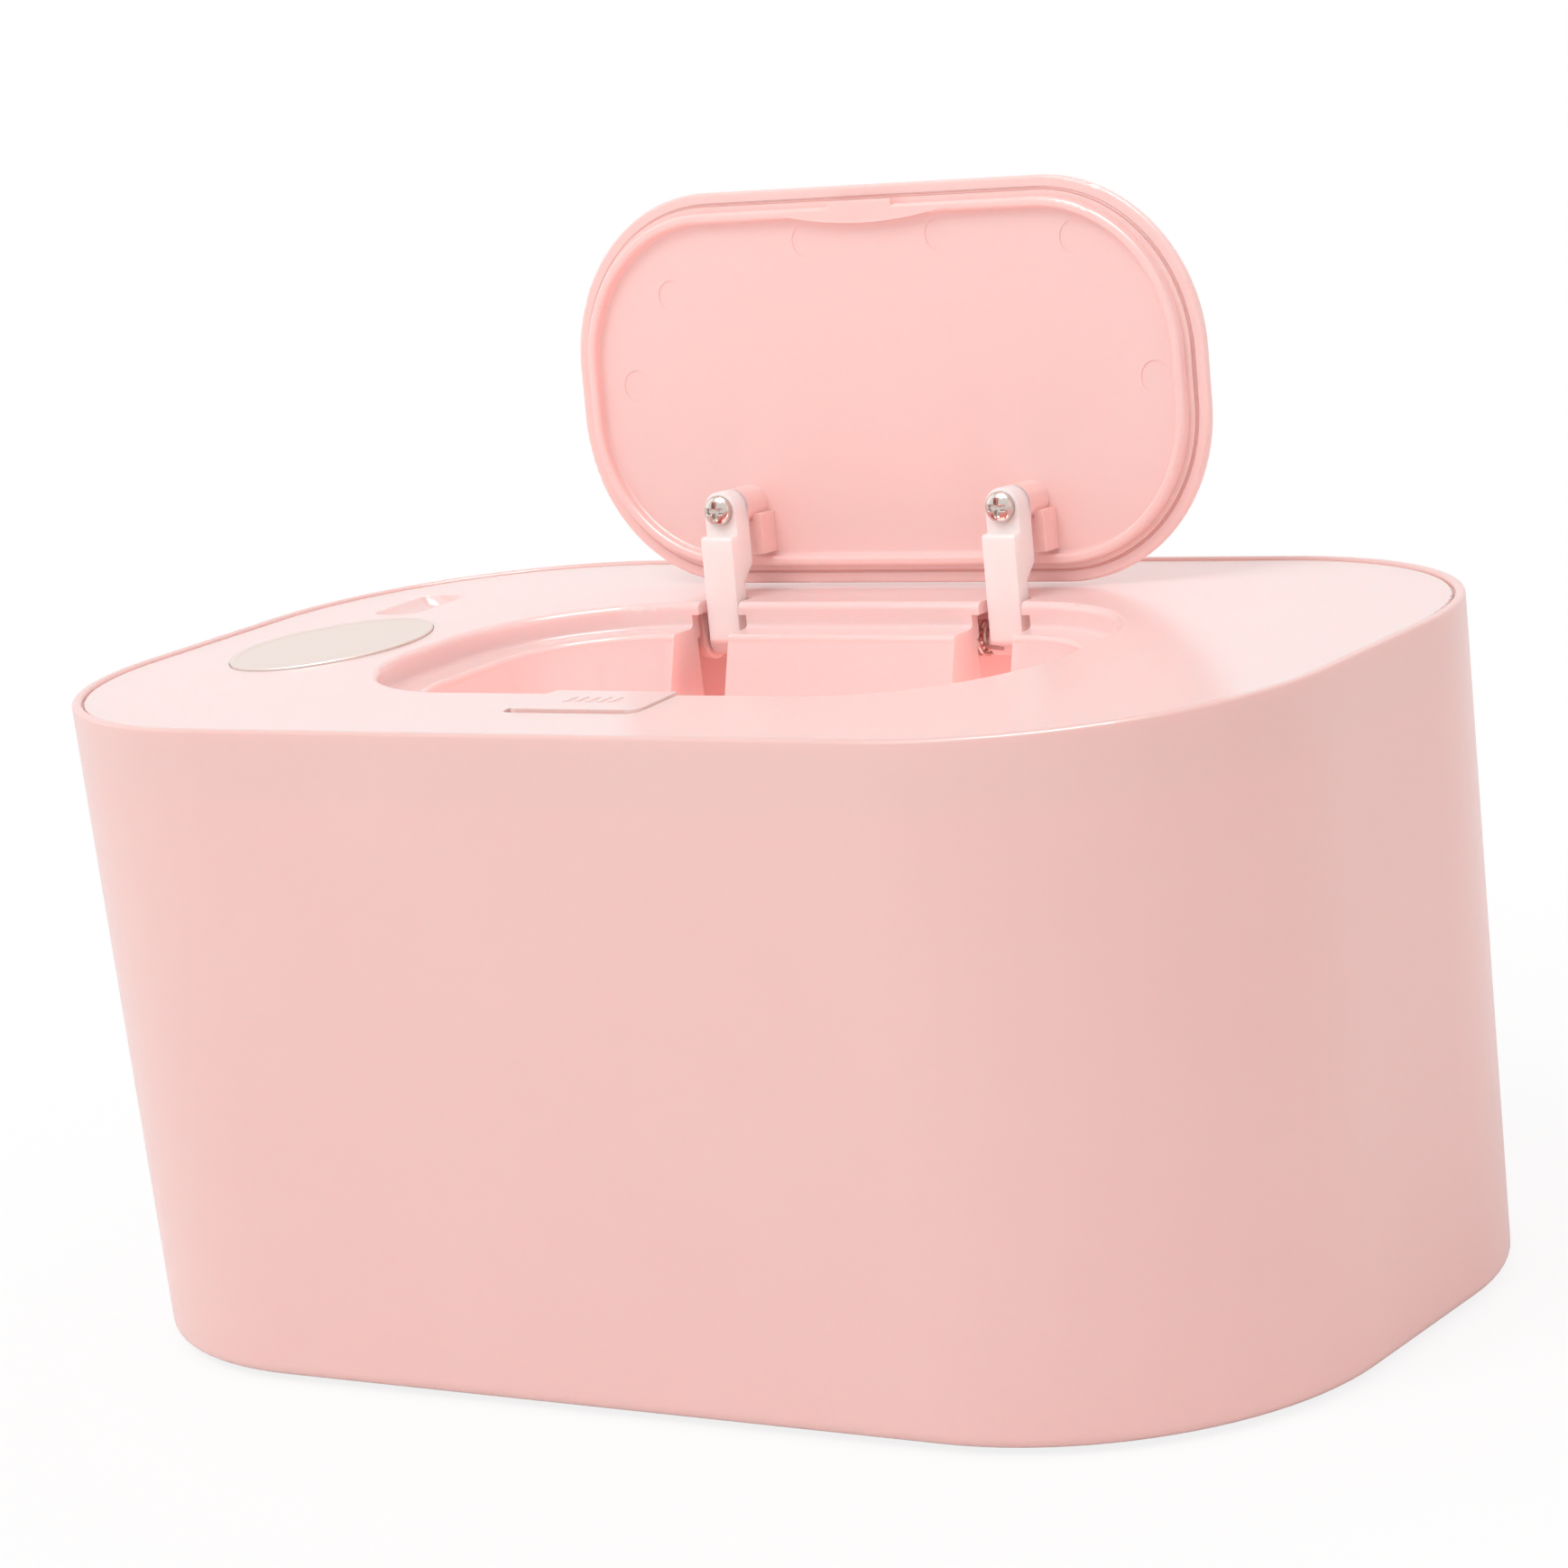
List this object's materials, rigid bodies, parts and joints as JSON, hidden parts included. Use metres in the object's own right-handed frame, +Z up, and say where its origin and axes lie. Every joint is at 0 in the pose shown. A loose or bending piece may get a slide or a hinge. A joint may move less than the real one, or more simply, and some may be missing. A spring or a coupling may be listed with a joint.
{
  "type": "baby wipe warmer",
  "caption": "Rounded box warmer for baby wipes: heated tub, lift-off top cover and a sprung oval dispensing lid with a press release.",
  "frame": {"origin": "on the surface it stands on, under the middle of the body", "axes": "+X along the body's long side, to the right seen from the front; -Y towards the front, where the release button is; +Z up"},
  "size_m": [0.2194, 0.1314, 0.1701],
  "materials": {
    "shell_pink": "smooth satin-gloss moulding",
    "cover_pink": "high-gloss moulding",
    "lid_pink": "smooth gloss moulding",
    "base_pink": "fine satin moulding",
    "tub_white": "smooth moulding",
    "milky_nylon": "translucent milky moulding",
    "badge_plate": "pale brushed oval plate",
    "nickel_steel": "bright nickel plate",
    "spring_steel": "drawn wire",
    "heater_aluminium": "rolled sheet",
    "heater_polyimide": "amber film",
    "insulation_foam": "needled felt",
    "ceramic": "glazed ceramic",
    "sensor_epoxy": "epoxy bead",
    "board_green": "solder mask",
    "socket_black": "moulded black plastic",
    "lead_red": "silicone insulation",
    "foot_rubber": "soft grey rubber"
  },
  "bodies": {
    "base": {"outer_shell": "shell_pink", "base_plate": "base_pink", "rubber_feet": "foot_rubber", "base_screws": "nickel_steel", "inner_tub": "tub_white", "heater_plate": "heater_aluminium", "heater_film": "heater_polyimide", "insulation_pad": "insulation_foam", "thermal_cutoff": "ceramic", "temperature_sensor": "sensor_epoxy", "control_board": "board_green", "board_screws": "nickel_steel", "power_socket": "socket_black", "heater_leads": "lead_red"},
    "cover": {"top_cover": "cover_pink", "cover_badge": "badge_plate", "hinge_pin": "nickel_steel", "hinge_pin_clip": "spring_steel", "hinge_spring_left": "spring_steel", "hinge_spring_right": "spring_steel", "latch_bracket": "base_pink", "latch_bracket_screws": "nickel_steel", "button_pin": "nickel_steel", "button_spring": "spring_steel"},
    "lid": {"lid_shell": "lid_pink", "lid_liner": "lid_pink", "hinge_arm_left": "milky_nylon", "hinge_arm_right": "milky_nylon", "arm_screw_left": "nickel_steel", "arm_screw_right": "nickel_steel"},
    "button": {"release_button": "cover_pink"}
  },
  "joints": [
    {"name": "cover_lift", "type": "slide", "parent": "base", "child": "cover", "axis": [0, 0, 1], "range_m": [0, 0.06]},
    {"name": "lid_hinge", "type": "hinge", "parent": "cover", "child": "lid", "pos_m": [0, 0.0377, 0.09785], "axis": [1, 0, 0], "range_deg": [0, 92.7], "stiffness_Nm_per_rad": 0.02, "springref_deg": -17.19, "deforming": ["hinge_spring_left", "hinge_spring_right"]},
    {"name": "button_press", "type": "hinge", "parent": "cover", "child": "button", "pos_m": [0, -0.0385, 0.093], "axis": [1, 0, 0], "range_deg": [0, 4.5], "stiffness_Nm_per_rad": 0.12, "springref_deg": -5.73, "deforming": ["button_spring"]}
  ]
}
